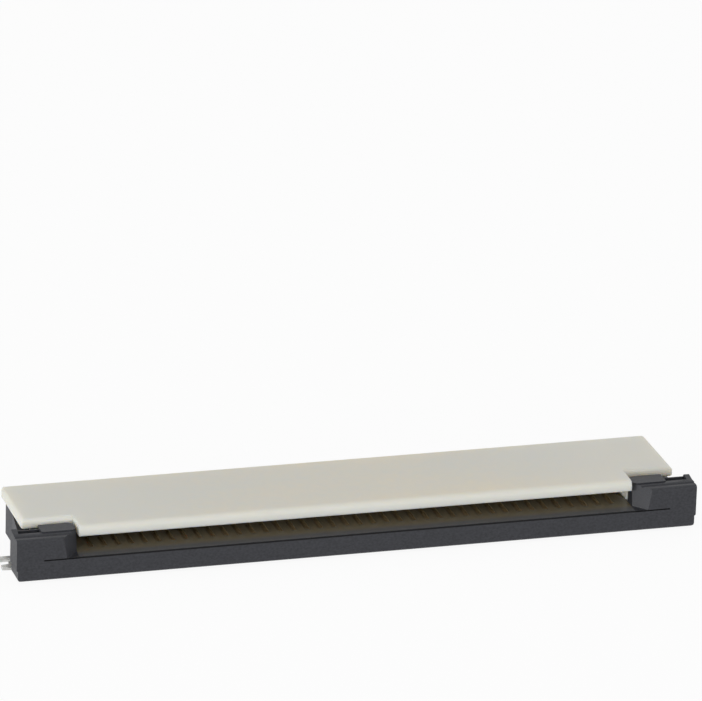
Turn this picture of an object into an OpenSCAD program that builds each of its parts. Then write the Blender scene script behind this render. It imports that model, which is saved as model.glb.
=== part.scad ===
// Slide-lock connector for a flat flexible cable: 40 ways on a 0.5 mm pitch.
// Millimetres, +Z up. Origin: middle of the part's footprint, on the board. The slider's front faces -Y.
// The cable goes in along +Y, between the slider's tongue and the top plate.
// Feet and hold-downs stand on z = 0.
// Every y below is counted from the front face of the shut slider; place() then centres the part.

/* [Contact row] */
// distance from one contact to the next
pitch = 0.5; // [0.4:0.05:0.5]
// thickness of the contact sheet
contact_t = 0.2; // [0.1:0.01:0.22]
// side play of a contact in its slot, each side
slot_play = 0.01; // [0.01:0.005:0.03]

/* [Top plate] */
// half width of the top plate
plate_half = 12.23; // [11.8:0.01:12.4]
// rear face of the plate and of the housing
rear_y = 4.7; // [4.4:0.05:5.2]
// front edge of the two end portions of the plate
end_front_y = 1.38; // [1.3:0.02:1.6]
// front edge of the long middle portion of the plate
lip_front_y = 0.38; // [0.2:0.02:0.8]
// half width of the long middle portion
lip_half = 10.33; // [10.0:0.01:10.35]
// upper face of the plate
plate_top = 1.9; // [1.85:0.01:2.2]
// lower face of the plate
plate_bottom = 1.5; // [1.48:0.01:1.6]
// radius of the rear corners, seen from above
corner_r = 0.34; // [0.1:0.02:0.6]
// radius of the plate's rounded edges
edge_r = 0.17; // [0.05:0.01:0.19]

/* [Housing] */
// half width of the contact block between the slider's arms
block_half = 11.05; // [10.8:0.01:11.08]
// half width across the stops that end the slider's travel
stop_half = 11.4; // [11.2:0.01:11.5]
// half width of the raised part of the underside
platform_half = 10.25; // [10.0:0.01:10.4]
// front edge of the floor
floor_front_y = 1.12; // [1.05:0.01:1.3]
// front edge of the walls at the slot's ends
wall_front_y = 1.15; // [1.08:0.01:1.4]
// top of the floor
floor_top = 0.3; // [0.2:0.01:0.34]
// half width of the cable cavity
cavity_half = 10.4; // [10.36:0.01:10.5]
// underside of the ribs between the contact beams
rib_bottom = 1.16; // [1.1:0.01:1.3]
// back of the cable cavity
cavity_rear_y = 3.7; // [3.6:0.01:3.9]

/* [Slider] */
// half width of the slider
slider_half = 12.7; // [12.5:0.05:12.9]
// underside of the slider
slider_bottom = 0.1; // [0.08:0.01:0.2]
// top of the front bar and of the tongue
tongue_top = 0.88; // [0.8:0.01:0.95]
// top of the end blocks
block_top = 1.7; // [1.6:0.01:1.8]
// floor of the pocket in the end block's top
pocket_floor = 1.5; // [1.4:0.01:1.6]
// top of the rim behind the pocket
rim_top = 1.68; // [1.5:0.01:1.7]
// top of the lugs beside the plate's lip
lug_top = 1.75; // [1.7:0.01:1.88]
// inner face of each end block, at the slot's end
slot_half = 10.4; // [10.38:0.01:10.6]
// size of the slanted lead-in at the slot's ends
lead_in = 0.46; // [0.1:0.02:0.6]
// lean of the lead-in's face, in degrees
lead_lean = 7; // [0:1:10]
// how far the tongue reaches into the cavity when shut
tongue_rear_y = 3.4; // [3.0:0.05:3.5]
// thickness of the side arms
arm_t = 0.34; // [0.25:0.01:0.4]
// way the slider travels between shut and open
travel = 0.85; // [0.5:0.01:0.86]

/* [Hold-downs] */
// thickness of the hold-down sheet
nail_t = 0.12; // [0.08:0.01:0.14]
// reach of the prongs from the middle of the part
nail_reach = 12.88; // [12.75:0.01:13.1]

/* [Hidden] */
contacts = 40;
row_half = (contacts - 1) * pitch / 2;
slot_w = contact_t + 2 * slot_play;
eps = 0.02;
arm_end_y = 3.45;
hook_front_y = 4.35;
hook_rear_y = 4.6;
hook_in = 11.13;
hook_out = 12.03;
stop_rear_y = hook_front_y - travel - 0.02;
ivory = [0.83, 0.82, 0.77];
black = [0.16, 0.16, 0.17];
gold = [0.83, 0.66, 0.3];
tin = [0.72, 0.72, 0.71];

// moves a piece so that the origin is the middle of the footprint
module place() {
  translate([0, -rear_y / 2, 0]) children();
}

// x of contact number i, counted from the left end
function contact_x(i) = -row_half + (i - 1) * pitch;

// a side view drawn as [y, z] points, stretched along x between two places
module run_x(x0, x1, pts) {
  translate([x0, 0, 0])
    rotate([90, 0, 90])
      linear_extrude(height = x1 - x0)
        polygon(pts);
}

// a plan view drawn as [x, y] points, stretched upwards between two heights
module run_z(z0, z1, pts) {
  translate([0, 0, z0])
    linear_extrude(height = z1 - z0)
      polygon(pts);
}

// a front view drawn as [x, z] points, stretched rearwards between two places
module run_y(y0, y1, pts) {
  translate([0, y1, 0])
    rotate([90, 0, 0])
      linear_extrude(height = y1 - y0)
        polygon(pts);
}

// points along an arc, from angle a0 to angle a1 in n steps
function arc(cx, cy, r, a0, a1, n = 3) =
  [for (i = [0:n]) let (a = a0 + (a1 - a0) * i / n) [cx + r * cos(a), cy + r * sin(a)]];

// the same thing on the right and on the left
module both_ends() {
  children();
  mirror([1, 0, 0]) children();
}

// plan of the plate behind its lip
function plate_plan(w, c) = concat(
  arc(-w + 0.1, end_front_y + 0.1, 0.1, 180, 270), arc(w - 0.1, end_front_y + 0.1, 0.1, 270, 360),
  arc(w - c, rear_y - c, c, 0, 90, 4), arc(-w + c, rear_y - c, c, 90, 180, 4));

// side view of the plate behind its lip, with rounded edges
function plate_side(r) = concat(
  arc(end_front_y + r, plate_bottom + r, r, 180, 270), [[rear_y, plate_bottom]],
  arc(rear_y - 0.1, plate_top - 0.1, 0.1, 0, 90, 2), arc(end_front_y + r, plate_top - r, r, 90, 180));

// front view of the plate, with rounded ends
function plate_front(w, r) = concat(
  arc(-w + r, plate_bottom + r, r, 180, 270), arc(w - r, plate_bottom + r, r, 270, 360),
  arc(w - r, plate_top - r, r, 0, 90), arc(-w + r, plate_top - r, r, 90, 180));

// side view of the lip, with its soft front edge
function lip_side() = [
  [end_front_y + 0.4, plate_bottom], [lip_front_y + 0.03, plate_bottom],
  [lip_front_y, plate_bottom + 0.03], [lip_front_y, plate_top - 0.2],
  [lip_front_y + 0.03, plate_top - 0.1], [lip_front_y + 0.09, plate_top - 0.035],
  [lip_front_y + 0.2, plate_top], [end_front_y + 0.4, plate_top]
];

// plan of the raised underside, with its cut front corners
function platform_plan() = [
  [-platform_half + 0.25, floor_front_y], [platform_half - 0.25, floor_front_y],
  [platform_half, floor_front_y + 0.5], [platform_half, rear_y],
  [-platform_half, rear_y], [-platform_half, floor_front_y + 0.5]
];

// room for one contact: a groove in the floor, one between the ribs, and the way in from the rear
function slot_side() = [
  [1.45, 0.14], [4.15, 0.14], [4.15, -0.1], [rear_y + 0.1, -0.1],
  [rear_y + 0.1, 1.37], [4.35, 1.42], [1.55, 1.42], [1.55, 0.8], [1.45, 0.8]
];

module housing() {
  color(ivory)
  difference() {
    union() {
      // the plate is where its three outlines meet
      intersection() {
        run_z(plate_bottom - 0.1, plate_top + 0.1, plate_plan(plate_half, corner_r));
        run_x(-plate_half - 1, plate_half + 1, plate_side(edge_r));
        run_y(end_front_y - 1, rear_y + 1, plate_front(plate_half, edge_r));
      }
      run_x(-lip_half, lip_half, lip_side());
      // contact block under the plate
      run_z(nail_t, plate_bottom + 0.12, [
        [-block_half, end_front_y + 0.02], [block_half, end_front_y + 0.02],
        [block_half, rear_y], [-block_half, rear_y]]);
      // the walls at the slot's ends reach further forward
      run_z(nail_t, 1.4, [
        [-block_half, wall_front_y], [block_half, wall_front_y],
        [block_half, end_front_y + 0.1], [-block_half, end_front_y + 0.1]]);
      // floor in front of the block
      run_z(nail_t, floor_top, [
        [-block_half + 0.2, floor_front_y + 0.1], [block_half - 0.2, floor_front_y + 0.1],
        [block_half, end_front_y + 0.1], [-block_half, end_front_y + 0.1]]);
      run_z(0, floor_top, platform_plan());
      // stops that the hooks meet when the slider is open
      both_ends() run_z(nail_t + 0.02, plate_bottom + 0.12, [
        [block_half - eps, stop_rear_y - 0.5], [stop_half - 0.12, stop_rear_y - 0.4],
        [stop_half, stop_rear_y - 0.2], [stop_half, stop_rear_y], [block_half - eps, stop_rear_y]]);
      // bosses that hold the hold-downs
      both_ends() translate([10.82, 2.75, 0.02])
        cylinder(r = 0.15, h = nail_t, $fn = 24);
    }
    // cable cavity
    run_x(-cavity_half, cavity_half, [
      [0.7, floor_top], [cavity_rear_y, floor_top], [cavity_rear_y, rib_bottom],
      [end_front_y + 0.25, rib_bottom], [end_front_y - 0.1, plate_bottom], [0.7, plate_bottom]]);
    for (i = [1:contacts])
      run_x(contact_x(i) - slot_w / 2, contact_x(i) + slot_w / 2, slot_side());
  }
}

// side view of the front bar
function bar_side() = [
  [0.05, slider_bottom], [0, slider_bottom + 0.05], [0, tongue_top - 0.05],
  [0.05, tongue_top - 0.04], [0.05, tongue_top], [0.85, tongue_top], [0.85, slider_bottom]
];

// side view of an end block's front wall
function block_side() = [
  [0.05, slider_bottom], [0, slider_bottom + 0.05], [0, block_top - 0.11],
  [0.03, block_top - 0.05], [0.1, block_top - 0.02], [0.26, block_top - 0.02], [0.28, block_top - 0.06],
  [0.31, block_top - 0.06], [0.34, block_top], [0.62, block_top], [0.62, slider_bottom]
];

module end_block() {
  difference() {
    union() {
      run_x(slot_half, slider_half, block_side());
      // lower body behind the wall, open at its top as a pocket with a low rim
      run_x(slot_half, slider_half, [
        [0.6, slider_bottom], [0.6, pocket_floor], [0.92, pocket_floor], [0.92, rim_top], [0.98, rim_top],
        [1, rim_top - 0.02], [1, slider_bottom + 0.05], [0.95, slider_bottom]]);
      // outer side wall
      run_x(slider_half - 0.2, slider_half, [
        [0.6, 1.4], [0.6, block_top], [0.85, block_top + 0.06], [0.95, block_top + 0.06],
        [1, block_top + 0.02], [1, 1.4]]);
    }
    // slanted lead-in beside the slot, leaning back a little
    intersection() {
      translate([slot_half + lead_in, 0, tongue_top])
        rotate(a = lead_lean, v = [-1, 1, 0])
          run_z(-0.2, 1.2, [[0.3, -0.3], [-1, 1], [-1, -0.3]]);
      run_z(tongue_top, block_top + 0.1, [
        [slot_half - 0.1, -0.1], [slider_half, -0.1], [slider_half, 0.7], [slot_half - 0.1, 0.7]]);
    }
    // the bar's top groove runs on into the face of the block
    run_x(slot_half - 0.1, 11.7, [
      [-0.1, tongue_top - 0.05], [0, tongue_top - 0.05], [0.05, tongue_top - 0.04],
      [0.05, tongue_top - 0.005], [0, tongue_top], [-0.1, tongue_top]]);
    // the outer face steps in near the board and ends in a rounded edge
    run_y(-0.1, 1.1, concat(
      [[slider_half + 0.1, 0.54], [slider_half, 0.54], [slider_half - 0.05, 0.5]],
      arc(slider_half - 0.17, slider_bottom + 0.12, 0.12, 0, -90),
      [[slider_half - 0.17, slider_bottom - 0.1], [slider_half + 0.1, slider_bottom - 0.1]]));
  }
  // lug in the corner between the plate's lip and its end portion
  run_z(0.3, lug_top, [
    [slot_half + 0.14, 0.5], [slot_half, 0.64], [slot_half, 1], [11.68, 1], [11.68, 0.55], [11.6, 0.5]]);
  run_z(1.46, lug_top, [
    [slot_half, 0.9], [slot_half, 1], [slot_half + 0.06, 1.14],
    [slot_half + 0.2, 1.2], [11.62, 1.2], [11.68, 1.14], [11.68, 0.9]]);
  // arm
  run_z(0.17, 1.3, [
    [12.36, 0.95], [hook_out, arm_end_y], [hook_out, arm_end_y + 0.15],
    [hook_out - arm_t, arm_end_y + 0.15], [hook_out - arm_t, arm_end_y], [12.36 - arm_t, 0.95]]);
  // the arm's taller end, turned in as a hook
  run_z(0.15, 1.38, [
    [hook_out - arm_t, arm_end_y], [hook_out - 0.02, arm_end_y], [hook_out, arm_end_y + 0.06],
    [hook_out, hook_rear_y - 0.1], [hook_out - 0.1, hook_rear_y], [hook_in + 0.08, hook_rear_y],
    [hook_in, hook_rear_y - 0.08], [hook_in, hook_front_y + 0.06], [hook_in + 0.06, hook_front_y],
    [hook_out - arm_t, hook_front_y]]);
}

module slider() {
  color(black)
  difference() {
    union() {
      run_x(-slot_half - 0.3, slot_half + 0.3, bar_side());
      // tongue, narrowing towards the rear
      intersection() {
        run_z(0.3, tongue_top, [
          [-10.45, 0.8], [10.45, 0.8], [10.45, 0.9], [10.13, 1.9], [10.13, tongue_rear_y - 0.15],
          [9.98, tongue_rear_y], [-9.98, tongue_rear_y], [-10.13, tongue_rear_y - 0.15],
          [-10.13, 1.9], [-10.45, 0.9]]);
        run_x(-11, 11, [
          [0.8, 0.4], [tongue_rear_y - 0.25, 0.4], [tongue_rear_y, 0.5], [tongue_rear_y, 0.68],
          [tongue_rear_y - 0.35, tongue_top], [0.8, tongue_top]]);
      }
      both_ends() end_block();
    }
    // one shallow channel under each contact beam
    for (i = [1:contacts])
      run_x(contact_x(i) - 0.08, contact_x(i) + 0.08, [
        [0.8, tongue_top + 0.1], [0.95, tongue_top - 0.08],
        [3.6, tongue_top - 0.08], [3.6, tongue_top + 0.1]]);
  }
}

// side view of a contact: foot, rear web, lower arm and sprung upper beam
function contact_side() = [
  [4.24, 0], [rear_y - 0.04, 0], [rear_y - 0.02, 0.04], [rear_y - 0.02, 0.78],
  [rear_y - 0.06, 0.82], [4.3, 0.82], [4.26, 0.88], [4.3, 0.94], [4.5, 0.94],
  [4.54, 0.98], [4.54, 1.26], [4.48, 1.33], [3.9, 1.34], [1.95, 1.33],
  [1.78, 1.29], [1.68, 1.22], [1.68, 1.14], [1.76, 1.07], [1.86, 1.06],
  [1.96, 1.12], [2.12, 1.2], [3.5, 1.13], [3.72, 1.02], [3.8, 0.86],
  [3.8, 0.56], [3.74, 0.42], [3.58, 0.35], [1.62, 0.33], [1.52, 0.28],
  [1.5, 0.2], [1.54, 0.14], [4.2, 0.14]
];

module contact(i) {
  color(gold)
    run_x(contact_x(i) - contact_t / 2, contact_x(i) + contact_t / 2, contact_side());
}

module hold_down() {
  color(tin)
  difference() {
    run_z(0, nail_t, [
      [10.42, 1.7], [10.7, 1.41], [nail_reach - 0.3, 1.39], [nail_reach, 1.43],
      [nail_reach, 1.69], [nail_reach - 0.3, 1.73], [nail_reach - 0.34, 1.97], [11.92, 2.01],
      [11.92, 2.17], [nail_reach, 2.17], [nail_reach, 2.45], [12, 2.47],
      [11.82, 2.61], [11.7, 2.87], [11.3, 3.09], [10.8, 3.19], [10.42, 3.15]]);
    translate([10.82, 2.75, -0.1])
      cylinder(r = 0.19, h = 1, $fn = 24);
  }
}

module hold_down_right() {
  hold_down();
}

module hold_down_left() {
  mirror([1, 0, 0]) hold_down();
}

place() housing();
place() slider();
place() hold_down_left();
place() hold_down_right();
place() contact(1);  // contact_01
place() contact(2);  // contact_02
place() contact(3);  // contact_03
place() contact(4);  // contact_04
place() contact(5);  // contact_05
place() contact(6);  // contact_06
place() contact(7);  // contact_07
place() contact(8);  // contact_08
place() contact(9);  // contact_09
place() contact(10);  // contact_10
place() contact(11);  // contact_11
place() contact(12);  // contact_12
place() contact(13);  // contact_13
place() contact(14);  // contact_14
place() contact(15);  // contact_15
place() contact(16);  // contact_16
place() contact(17);  // contact_17
place() contact(18);  // contact_18
place() contact(19);  // contact_19
place() contact(20);  // contact_20
place() contact(21);  // contact_21
place() contact(22);  // contact_22
place() contact(23);  // contact_23
place() contact(24);  // contact_24
place() contact(25);  // contact_25
place() contact(26);  // contact_26
place() contact(27);  // contact_27
place() contact(28);  // contact_28
place() contact(29);  // contact_29
place() contact(30);  // contact_30
place() contact(31);  // contact_31
place() contact(32);  // contact_32
place() contact(33);  // contact_33
place() contact(34);  // contact_34
place() contact(35);  // contact_35
place() contact(36);  // contact_36
place() contact(37);  // contact_37
place() contact(38);  // contact_38
place() contact(39);  // contact_39
place() contact(40);  // contact_40
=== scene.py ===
# %% [markdown]
# # A slide-lock connector for a flat flexible cable
#
# The part is 26 mm long and 2 mm high. An ivory moulded housing holds forty gold contacts in a row,
# a black slider locks the cable from the front, and a small tinned plate at each end is soldered
# to the board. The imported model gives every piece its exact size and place. This lesson only
# dresses it: soft moulded edges, four finishes, a pale floor and a studio.

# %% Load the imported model
import math

import bmesh
import bpy
from mathutils import Matrix, Vector


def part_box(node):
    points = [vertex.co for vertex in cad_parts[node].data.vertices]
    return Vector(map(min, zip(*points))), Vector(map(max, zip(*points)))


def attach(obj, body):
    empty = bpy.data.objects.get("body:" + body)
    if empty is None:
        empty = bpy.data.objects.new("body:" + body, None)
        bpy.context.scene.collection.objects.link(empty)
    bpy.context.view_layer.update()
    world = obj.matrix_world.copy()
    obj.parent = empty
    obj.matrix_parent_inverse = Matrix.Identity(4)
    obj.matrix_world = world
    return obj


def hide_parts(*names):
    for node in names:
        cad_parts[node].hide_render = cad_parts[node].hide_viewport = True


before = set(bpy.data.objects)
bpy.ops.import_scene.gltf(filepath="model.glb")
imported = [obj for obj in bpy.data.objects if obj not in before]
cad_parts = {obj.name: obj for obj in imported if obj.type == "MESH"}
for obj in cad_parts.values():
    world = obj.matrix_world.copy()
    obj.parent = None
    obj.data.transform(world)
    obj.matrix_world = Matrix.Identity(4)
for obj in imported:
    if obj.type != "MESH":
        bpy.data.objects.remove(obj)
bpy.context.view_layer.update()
MM = 0.001
CONTACTS = sorted(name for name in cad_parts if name.startswith("contact_"))

# %% [markdown]
# ## The camera
#
# A long lens from a quarter of a metre away keeps the row of contacts nearly parallel. The camera
# stands to the left of the part and looks down on it, and it aims above the part, so that the part
# lies low in the frame. A Track To constraint would also aim it, but would keep it level, and this
# camera is rolled by nearly two degrees. So its three directions are worked out from angles.

# %% Camera
AZIMUTH, ELEVATION, ROLL = -16.79, 20.74, 1.776  # degrees
DISTANCE = 244.5 * MM
AIM = Vector((0.209, 0.319, 6.907)) * MM
LENS, SENSOR_WIDTH = 348.96, 36  # millimetres
NEAREST, FURTHEST = 10 * MM, 5  # nothing outside these distances is drawn


def camera_axes(azimuth, elevation, roll):
    """Right, up and backward directions of a camera, from three angles in degrees."""
    a, e, r = (math.radians(v) for v in (azimuth, elevation, roll))
    back = Vector((math.sin(a) * math.cos(e), -math.cos(a) * math.cos(e), math.sin(e)))
    right = Vector((math.cos(a), math.sin(a), 0))
    up = back.cross(right)
    return (
        right * math.cos(r) + up * math.sin(r),
        up * math.cos(r) - right * math.sin(r),
        back,
    )


right, up, back = camera_axes(AZIMUTH, ELEVATION, ROLL)
turn = Matrix((right, up, back)).transposed().to_4x4()
camera = bpy.data.objects.new("camera", bpy.data.cameras.new("camera"))
camera.data.lens, camera.data.sensor_width = LENS, SENSOR_WIDTH
camera.data.clip_start, camera.data.clip_end = NEAREST, FURTHEST
camera.matrix_world = Matrix.Translation(AIM + back * DISTANCE) @ turn
bpy.context.scene.collection.objects.link(camera)
bpy.context.scene.camera = camera
print("camera stands at", [round(v / MM, 1) for v in camera.matrix_world.translation], "mm")

# %% [markdown]
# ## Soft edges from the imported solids
#
# Every moulded or stamped edge is a little round, and that is where a small part catches the
# light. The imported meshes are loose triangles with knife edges, and a bevel needs faces that know
# their neighbours. So a copy is merged, and its flat faces are joined again.
#
# A Bevel modifier with an angle limit would be shorter. But it also runs over the finest steps,
# where the bevel is wider than the step and folds into itself. Choosing the edges in code leaves
# those alone. On an outer edge a bevel only takes material away, so the copy stays inside its
# solid's box.

# %% Merged copies
WELD = 0.0005  # millimetres within which two corners count as one
FLAT = 1  # degrees by which faces may turn and still be joined as one


def merged_copy(node):
    """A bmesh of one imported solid, with doubled corners merged and flat faces joined."""
    form = bmesh.new()
    form.from_mesh(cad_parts[node].data)
    bmesh.ops.remove_doubles(form, verts=form.verts, dist=WELD * MM)
    bmesh.ops.dissolve_limit(
        form, angle_limit=math.radians(FLAT), verts=form.verts, edges=form.edges, delimit=set()
    )
    return form


# %% Bevelled edges
CLEARANCE = 2.4  # how long an edge's neighbours have to be, in bevel widths


def roomy_edges(form, least_angle, least_length, room):
    """Sharp edges whose ends have no short neighbour edge that a bevel would run over."""
    found = []
    for edge in form.edges:
        if len(edge.link_faces) != 2 or edge.calc_length() < least_length:
            continue
        if edge.calc_face_angle(0) < least_angle:
            continue
        near = [e for v in edge.verts for e in v.link_edges if e is not edge]
        if min(e.calc_length() for e in near) > room:
            found.append(edge)
    return found


def soften(form, width, least_angle, least_length):
    """Bevels a form's roomy edges, with lengths in millimetres and the angle in degrees."""
    edges = roomy_edges(form, math.radians(least_angle), least_length * MM, CLEARANCE * width * MM)
    bmesh.ops.bevel(
        form, geom=edges, offset=width * MM, offset_type="OFFSET", segments=3,
        profile=0.5, affect="EDGES", clamp_overlap=True, material=-1, loop_slide=True,
    )
    return len(edges)


# %% From a form to a finished piece
CRISP = 34  # a crease that turns by more degrees than this stays crisp


def finish_piece(form, name, material, body, node):
    """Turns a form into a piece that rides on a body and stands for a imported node."""
    mesh = bpy.data.meshes.new(name)
    form.to_mesh(mesh)
    form.free()
    mesh.materials.append(material)
    mesh.shade_smooth()
    mesh.set_sharp_from_angle(angle=math.radians(CRISP))
    piece = bpy.data.objects.new(name, mesh)
    bpy.context.scene.collection.objects.link(piece)
    even = piece.modifiers.new("even_shading", "WEIGHTED_NORMAL")
    even.keep_sharp = True
    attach(piece, body)
    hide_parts(node)
    return piece


# %% [markdown]
# ## Finishes
#
# The part has four: ivory resin, black resin, gold plate and tin plate. An image texture would need
# unwrapped meshes, and all forty contacts would repeat it. Procedural nodes read where a point
# lies inside the object, so they work on any mesh and never show a seam. Object coordinates are in
# metres here, so a noise of scale 1000 has features about a millimetre across.

# %% Colours and blank materials
def colour(red, green, blue):
    """Turns screen values from 0 to 255 into the linear colour that Blender works in."""
    def linear(v):
        v /= 255
        return v / 12.92 if v <= 0.04045 else ((v + 0.055) / 1.055) ** 2.4
    return (linear(red), linear(green), linear(blue), 1)


def grey(value):
    """A linear grey, or a plain number where a colour ramp gives one out."""
    return (value, value, value, 1)


def new_material(name, **sockets):
    """A material whose shader sockets are set by name, as Roughness=0.5."""
    material = bpy.data.materials.new(name)
    material.use_nodes = True
    shader = material.node_tree.nodes["Principled BSDF"]
    for socket, value in sockets.items():
        shader.inputs[socket.replace("_", " ")].default_value = value
    return material, material.node_tree, shader


# %% Noise, ramps and bump
def noise(tree, scale, detail, stretch=(1, 1, 1)):
    """Noise in object space, stretched along an axis where its number is small."""
    where = tree.nodes.new("ShaderNodeTexCoord")
    mapping = tree.nodes.new("ShaderNodeMapping")
    mapping.inputs["Scale"].default_value = stretch
    texture = tree.nodes.new("ShaderNodeTexNoise")
    texture.inputs["Scale"].default_value = scale
    texture.inputs["Detail"].default_value = detail
    tree.links.new(where.outputs["Object"], mapping.inputs["Vector"])
    tree.links.new(mapping.outputs["Vector"], texture.inputs["Vector"])
    return texture.outputs["Fac"]


def ramp(tree, source, stops):
    """Maps a number to colours, given as (number, colour) stops."""
    node = tree.nodes.new("ShaderNodeValToRGB")
    elements = node.color_ramp.elements
    while len(elements) < len(stops):
        elements.new(0.5)
    for element, (place, value) in zip(elements, stops):
        element.position, element.color = place, value
    tree.links.new(source, node.inputs["Fac"])
    return node.outputs["Color"]


def bump(tree, shader, height, depth, strength):
    """Bump of a depth in millimetres."""
    node = tree.nodes.new("ShaderNodeBump")
    node.inputs["Distance"].default_value = depth * MM
    node.inputs["Strength"].default_value = strength
    tree.links.new(height, node.inputs["Height"])
    tree.links.new(node.outputs["Normal"], shader.inputs["Normal"])


# %% [markdown]
# ### Finishes that change from place to place
#
# Both mouldings change in colour across one surface. Giving some of their faces another material
# would draw a hard line at each border. A share between 0 and 1, worked out from where a point
# lies, can fade as softly as the real thing does. These helpers build such shares.

# %% Places, sums and mixtures
def position(tree, axis):
    """How far a point lies along X, Y or Z of the part, in metres."""
    where = tree.nodes.new("ShaderNodeTexCoord")
    split = tree.nodes.new("ShaderNodeSeparateXYZ")
    tree.links.new(where.outputs["Object"], split.inputs[0])
    return split.outputs[axis]


def maths(tree, operation, *sources):
    """A Math node whose inputs are numbers or other nodes' outputs."""
    node = tree.nodes.new("ShaderNodeMath")
    node.operation = operation
    for socket, source in zip(node.inputs, sources):
        if isinstance(source, (int, float)):
            socket.default_value = source
        else:
            tree.links.new(source, socket)
    return node.outputs[0]


def fade(tree, source, start, end):
    """A share that goes smoothly from 0 at the start to 1 at the end, both in millimetres."""
    node = tree.nodes.new("ShaderNodeMapRange")
    node.interpolation_type = "SMOOTHSTEP"
    node.inputs["From Min"].default_value = start * MM
    node.inputs["From Max"].default_value = end * MM
    tree.links.new(source, node.inputs["Value"])
    return node.outputs["Result"]


def product(tree, *shares):
    """All the shares multiplied together, which is 1 only where every one of them is."""
    total = shares[0]
    for share in shares[1:]:
        total = maths(tree, "MULTIPLY", total, share)
    return total


def mix(tree, share, first, second):
    """A colour between two, each given as a value or as a node's output."""
    node = tree.nodes.new("ShaderNodeMix")
    node.data_type = "RGBA"
    colour_sockets = [socket for socket in node.inputs if socket.type == "RGBA"]
    for socket, source in zip([node.inputs["Factor"], *colour_sockets], (share, first, second)):
        if isinstance(source, tuple):
            socket.default_value = source
        else:
            tree.links.new(source, socket)
    return next(socket for socket in node.outputs if socket.type == "RGBA")


# %% [markdown]
# ### Ivory resin
#
# The housing is moulded in an ivory resin that bears the heat of soldering. Light goes a little way
# into it and comes out again, so thin walls and edges glow. A flat colour would leave those edges
# dead, and real transparency would be slow and far too clear. Subsurface scattering gives just
# that short glow, with red light going furthest.
#
# The colour is never quite even either. A broad noise and a fine one turn the ivory warmer in
# patches, which is the resin's own mottling. Over the contacts the warmth is also painted light, a
# tint for the gold light that comes up through the resin; the ends and the front lip, which have no
# contacts below them, stay cool. At the rear the ribs between the contacts get a painted golden
# reflection, for the light that goes to and fro between two gold walls there.

# %% Ivory resin
GLOW_DEPTH = 0.7  # millimetres that light travels inside the resin
GLOW_REACH = (1, 0.82, 0.55)  # how much of that depth red, green and blue light reach
ROW_END = 10.1  # millimetres from the middle of the row to its end
FINE_SHARE = 0.3  # how much the fine noise adds to the broad one
END_SHARE = 0.75  # how much of the cool colour the ends have
ivory, tree, shader = new_material("ivory_resin", Roughness=0.5, Subsurface_Weight=0.8)
shader.inputs["Subsurface Radius"].default_value = GLOW_REACH
shader.inputs["Subsurface Scale"].default_value = GLOW_DEPTH * MM

broad = noise(tree, scale=170, detail=3, stretch=(0.5, 1, 1))
fine = noise(tree, scale=3200, detail=4)
warm = ramp(
    tree, maths(tree, "MULTIPLY_ADD", fine, FINE_SHARE, broad),
    [(0.5, colour(207, 206, 197)), (0.65, colour(212, 207, 193)), (0.8, colour(217, 209, 189))],
)
across = maths(tree, "ABSOLUTE", position(tree, "X"))
along, height = position(tree, "Y"), position(tree, "Z")
# painted light: away from the ends and the lip the ivory keeps a warm tint for gold light through
# the resin
near_ends = maths(tree, "MULTIPLY", fade(tree, across, start=4, end=12), END_SHARE)
near_lip = fade(tree, along, start=-1.6, end=-2)
plain = mix(tree, maths(tree, "MAXIMUM", near_ends, near_lip), warm, colour(211, 211, 204))
# painted reflection: a golden tint on the ribs between the contacts at the rear
near_contacts = product(
    tree,
    fade(tree, across, start=ROW_END + 0.2, end=ROW_END - 0.2),
    fade(tree, along, start=1.65, end=1.95),
    fade(tree, height, start=1.52, end=1.2),
)
golden = mix(tree, near_contacts, plain, colour(214, 192, 150))
tree.links.new(golden, shader.inputs["Base Color"])
bump(tree, shader, noise(tree, scale=16000, detail=3), depth=0.002, strength=0.5)
print("ivory resin has", len(tree.nodes), "nodes")

# %% [markdown]
# ### Black glass-filled resin
#
# The slider is black resin with short glass fibres in it. They leave a fine speckle and a satin
# sheen, so one fine noise drives both the colour and the roughness. It is stretched a little along
# X, the way the resin ran when the bar was moulded.
#
# The tongue presses the cable up against the contacts. It is smoother than the rest. Its colour is
# painted light: it is painted paler than the rest for the light that reaches into the slot, and
# browner towards the rear as a painted reflection of the gold that it faces. Its channels are
# painted browner and paler still, which lifts the shade in them. A fine step runs along the top of
# the bar's front face and hardly gets any light, so it is painted with a dark line of shade. A
# second and a third material would need borders cut into the mesh, so one material reads which of
# these a point is in.

# %% Regions of the slider
# Each is a box in millimetres, a hair larger than the faces that it has to catch.
BAR_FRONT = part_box("slider")[0].y / MM
TONGUE = {"X": (-10.38, 10.38), "Y": (BAR_FRONT + 0.06, 2), "Z": (0.79, 0.892)}
CHANNELS = {"Z": (0.79, 0.868)}
STEP = {"X": (-11.7, 11.7), "Y": (BAR_FRONT - 0.01, BAR_FRONT + 0.055), "Z": (0.828, 0.868)}


def within(tree, axis, low, high):
    """1 where a point lies between two millimetre values along an axis, and 0 elsewhere."""
    middle, half = (low + high) / 2 * MM, (high - low) / 2 * MM
    return maths(tree, "COMPARE", position(tree, axis), middle, half)


def inside(tree, box):
    """1 where a point lies within each of a box's ranges, and 0 elsewhere."""
    return product(tree, *(within(tree, axis, *limits) for axis, limits in box.items()))


print("the bar's front face is at y =", round(BAR_FRONT, 2), "mm")

# %% Black resin
black, tree, shader = new_material("black_resin", Specular_IOR_Level=0.35)
fibres = noise(tree, scale=15000, detail=3, stretch=(0.7, 1, 1))
moulded = ramp(tree, fibres, [(0.3, colour(36, 37, 41)), (0.7, colour(53, 54, 59))])
satin = ramp(tree, fibres, [(0.3, grey(0.42)), (0.7, grey(0.6))])

# painted light and reflection: the tongue is painted paler, and browner towards the rear where it
# faces gold
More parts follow.
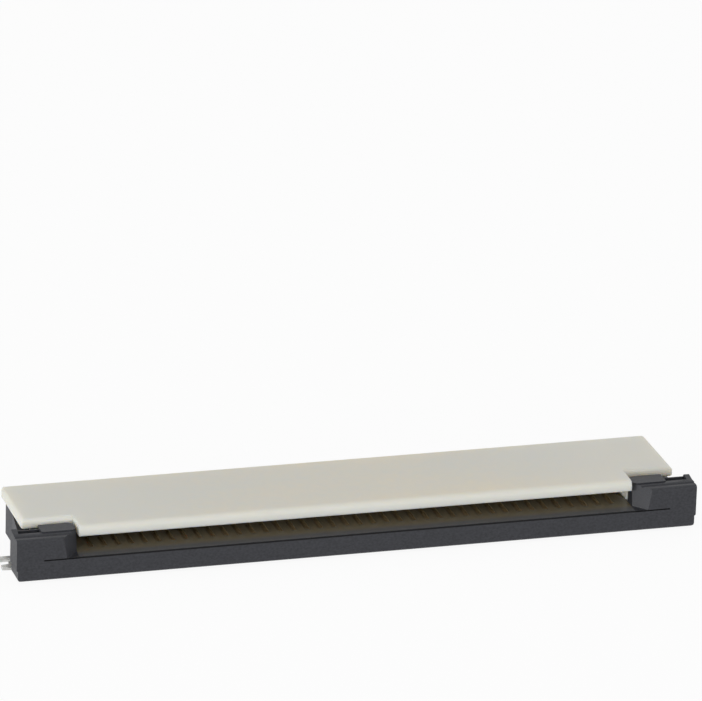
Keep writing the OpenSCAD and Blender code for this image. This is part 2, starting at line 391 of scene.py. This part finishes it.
towards_rear = fade(tree, position(tree, "Y"), start=-2.1, end=-1.7)
painted_tongue_light = mix(tree, towards_rear, colour(90, 90, 91), colour(114, 106, 87))
# painted light: the channels get a paler brown that lifts their shade
tongue = mix(tree, inside(tree, CHANNELS), painted_tongue_light, colour(154, 136, 103))
on_tongue = inside(tree, TONGUE)
surface = mix(tree, on_tongue, moulded, tongue)
# painted shade: a near-black line along the fine step on the bar's front face
shaded = mix(tree, inside(tree, STEP), surface, colour(10, 10, 12))
tree.links.new(shaded, shader.inputs["Base Color"])
tree.links.new(mix(tree, on_tongue, satin, grey(0.25)), shader.inputs["Roughness"])
bump(tree, shader, noise(tree, scale=14000, detail=3), depth=0.002, strength=0.6)
print("black resin has", len(tree.nodes), "nodes")

# %% [markdown]
# ### Gold and tin plate
#
# The contacts are stamped from copper alloy and plated with gold, and the two hold-downs are plated
# with tin. Metal has no colour of its own under a gloss, as paint has: it colours what it mirrors,
# which is what a Metallic of 1 means. One even roughness would look like chrome, so a noise makes
# some spots duller. Gold shows lines down the stamped edge, so its noise is stretched along Z.
# Tin is coarser and paler, and stands up in a slight relief.

# %% Plated metals
def plated(name, grain, colours, roughness, relief=0):
    """A metal whose grain drives its colour, its roughness and a relief in millimetres."""
    material, tree, shader = new_material(name, Metallic=1)
    texture = noise(tree, **grain)
    tree.links.new(ramp(tree, texture, colours), shader.inputs["Base Color"])
    tree.links.new(ramp(tree, texture, roughness), shader.inputs["Roughness"])
    if relief:
        bump(tree, shader, texture, depth=relief, strength=0.5)
    print(name, "has", len(tree.nodes), "nodes")
    return material


gold = plated(
    "gold_plate",
    grain={"scale": 3000, "detail": 3, "stretch": (1, 1, 0.3)},
    colours=[(0.3, colour(176, 138, 76)), (0.7, colour(212, 178, 112))],
    roughness=[(0.3, grey(0.3)), (0.7, grey(0.5))],
)
tin = plated(
    "tin_plate",
    grain={"scale": 2500, "detail": 4, "stretch": (1, 0.5, 1)},
    colours=[(0.35, colour(186, 186, 183)), (0.65, colour(228, 228, 226))],
    roughness=[(0.3, grey(0.28)), (0.7, grey(0.45))],
    relief=0.002,
)

# %% [markdown]
# ## The mouldings
#
# The housing and the slider came out of one mould each, so each is one piece with one finish. A
# mould leaves the same small radius all round, here 0.03 mm, on every edge that has room for it.

# %% Housing and slider
MOULDED = {"width": 0.03, "least_angle": 35, "least_length": 0.15}


def dress(node, name, material, body, edges):
    """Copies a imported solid, softens its edges, gives it its finish, and says what it has."""
    form = merged_copy(node)
    count = soften(form, **edges)
    piece = finish_piece(form, name, material, body, node)
    return f"{count} soft edges and {len(piece.data.polygons)} faces"


print("housing:", dress("housing", "housing_moulding", ivory, "housing", MOULDED))
print("slider:", dress("slider", "slider_moulding", black, "slider", MOULDED))

# %% [markdown]
# ## The stampings
#
# The contacts are stamped from sheet 0.2 mm thick, and a stamped edge is only half as round as a
# moulded one. All forty are alike. An Array modifier would make them as one piece, but on the real
# part each is a piece of its own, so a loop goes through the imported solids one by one. The
# hold-downs come out of thinner sheet by the same way of working.

# %% Contacts
STAMPED = {"width": 0.015, "least_angle": 40, "least_length": 0.05}
for node in CONTACTS:
    made = dress(node, node + "_stamping", gold, "housing", STAMPED)
print("each of the", len(CONTACTS), "contacts:", made)

# %% Hold-downs
HELD = {"width": 0.02, "least_angle": 40, "least_length": 0.05}
for node in ("hold_down_left", "hold_down_right"):
    print(node, "has", dress(node, node + "_plate", tin, "housing", HELD))

# %% [markdown]
# ## The floor
#
# A small part is usually shown on white, with only a faint shadow. A floor bright enough to look
# white would also throw too much light up at the part. So a ray that looks straight at the floor or
# the sky, from the camera or by way of a mirror, sees nearly plain white, and every other ray finds
# them at a plain level. The floor keeps a small share of its matt look, which carries the shadow.

# %% Rays that look straight at the white
WHITE_SHARE = 0.92  # how much of the floor's look is plain white; the rest takes the shadow
SKY_LEVEL = 0.7  # strength of the sky as a lamp


def seen_directly(tree):
    """1 for a ray from the camera, a reflection or a see-through part, and 0 for plain lighting."""
    path = tree.nodes.new("ShaderNodeLightPath")
    mirrored = maths(
        tree, "MAXIMUM", path.outputs["Is Glossy Ray"], path.outputs["Is Transmission Ray"]
    )
    return maths(tree, "MAXIMUM", path.outputs["Is Camera Ray"], mirrored)


# %% Floor
FLOOR_HALF = 1.5  # metres
FLOOR_GAP = 0.01 * MM  # keeps the floor clear of the feet that stand on it
form = bmesh.new()
bmesh.ops.create_grid(form, x_segments=1, y_segments=1, size=FLOOR_HALF)
bmesh.ops.translate(form, verts=form.verts, vec=(0, 0, -FLOOR_GAP))
mesh = bpy.data.meshes.new("floor")
form.to_mesh(mesh)
form.free()
floor = bpy.data.objects.new("floor", mesh)
bpy.context.scene.collection.objects.link(floor)
print("floor is", 2 * FLOOR_HALF, "m wide")

# %% Pale finish
pale = bpy.data.materials.new("pale_floor")
pale.use_nodes = True
tree = pale.node_tree
tree.nodes.clear()
output = tree.nodes.new("ShaderNodeOutputMaterial")
matte = tree.nodes.new("ShaderNodeBsdfDiffuse")
matte.inputs["Color"].default_value = grey(0.86)
white = tree.nodes.new("ShaderNodeEmission")
blend = tree.nodes.new("ShaderNodeMixShader")
share = maths(tree, "MULTIPLY", seen_directly(tree), WHITE_SHARE)
for socket, source in zip(blend.inputs, (share, matte.outputs[0], white.outputs[0])):
    tree.links.new(source, socket)
tree.links.new(blend.outputs[0], output.inputs["Surface"])
floor.data.materials.append(pale)
print("pale floor has", len(tree.nodes), "nodes")

# %% [markdown]
# ## World and lamps
#
# Even light alone makes a small part look like a drawing, so three square lamps give it form. Small
# or point lamps would leave hard bright spots on the black resin. The key lights the top and the
# left. A low lamp far to the left finds the slanted lead-in at the slot's right end, which would
# look like the face beside it otherwise. The front lamp lifts the lip of the plate.

# %% World and lamps
world = bpy.data.worlds.new("studio")
bpy.context.scene.world = world
world.use_nodes = True
tree = world.node_tree
sky = tree.nodes["Background"]
sky.inputs["Color"].default_value = grey(1)
strength = maths(tree, "MULTIPLY_ADD", seen_directly(tree), 1 - SKY_LEVEL, SKY_LEVEL)
tree.links.new(strength, sky.inputs["Strength"])


def softbox(name, place, size, watts):
    """A square lamp that faces the part, with its place and size in millimetres."""
    lamp = bpy.data.lights.new(name, "AREA")
    lamp.shape, lamp.size, lamp.energy = "SQUARE", size * MM, watts
    holder = bpy.data.objects.new(name, lamp)
    holder.location = Vector(place) * MM
    holder.rotation_euler = Vector(place).to_track_quat("Z", "Y").to_euler()
    bpy.context.scene.collection.objects.link(holder)
    print(name, "stands", round(Vector(place).length), "mm away, with", watts, "W")


softbox("key", place=(-210, -160, 80), size=160, watts=0.18)
softbox("low_fill", place=(-300, -102, 6), size=60, watts=0.4)
softbox("front", place=(40, -255, 75), size=120, watts=0.08)
bpy.context.scene.view_settings.view_transform = "Standard"
